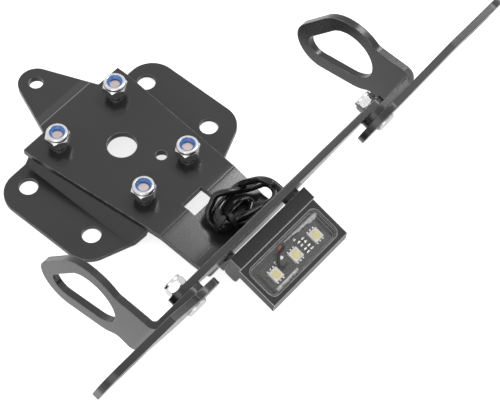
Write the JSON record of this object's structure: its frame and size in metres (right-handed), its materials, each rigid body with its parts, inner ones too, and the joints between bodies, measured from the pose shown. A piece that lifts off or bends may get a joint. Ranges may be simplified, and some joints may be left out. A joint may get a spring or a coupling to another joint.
{
  "type": "motorcycle tail tidy",
  "caption": "Folded black steel number plate holder for a motorcycle tail, with looped indicator brackets, plate arms and a small LED plate light on a coiled lead.",
  "frame": {"origin": "centre of the four frame holes, on the flange faces that meet the bike", "axes": "+X across the bike, +Y towards the bike's front, +Z away from the faces that meet the bike"},
  "size_m": [0.2374, 0.1714, 0.094],
  "materials": {
    "powder_coat": "satin black powder coat on steel sheet",
    "zinc_nut": "bright zinc plating",
    "zinc_bolt": "zinc plated thread",
    "blue_nylon": "blue nylon ring",
    "light_black": "black moulded plastic",
    "light_clear": "clear moulded lens",
    "board_grey": "dark circuit board",
    "led_white": "white diode bodies",
    "phosphor_yellow": "yellow phosphor",
    "resistor_black": "black chip",
    "solder_silver": "solder",
    "wire_red": "red insulation",
    "cable_black": "glossy black insulation",
    "tie_black": "black twist tie",
    "grommet_black": "black rubber"
  },
  "bodies": {
    "root": {"main_bracket": "powder_coat", "mounting_plate": "powder_coat", "right_indicator_bracket": "powder_coat", "left_indicator_bracket": "powder_coat", "right_plate_arm": "powder_coat", "left_plate_arm": "powder_coat", "plate_bolts": "zinc_bolt", "plate_lock_nuts": "zinc_nut", "plate_nut_inserts": "blue_nylon", "arm_bolts": "zinc_bolt", "arm_lock_nuts": "zinc_nut", "arm_nut_inserts": "blue_nylon", "light_housing": "light_black", "light_lens": "light_clear", "light_circuit_board": "board_grey", "light_leds": "led_white", "light_led_phosphors": "phosphor_yellow", "light_resistors": "resistor_black", "light_solder": "solder_silver", "light_red_wire": "wire_red", "light_black_wire": "cable_black", "light_screws": "zinc_bolt", "light_spacers": "zinc_nut", "lead_grommet": "grommet_black", "lead": "cable_black", "lead_coil": "cable_black", "lead_tie": "tie_black"}
  },
  "joints": []
}
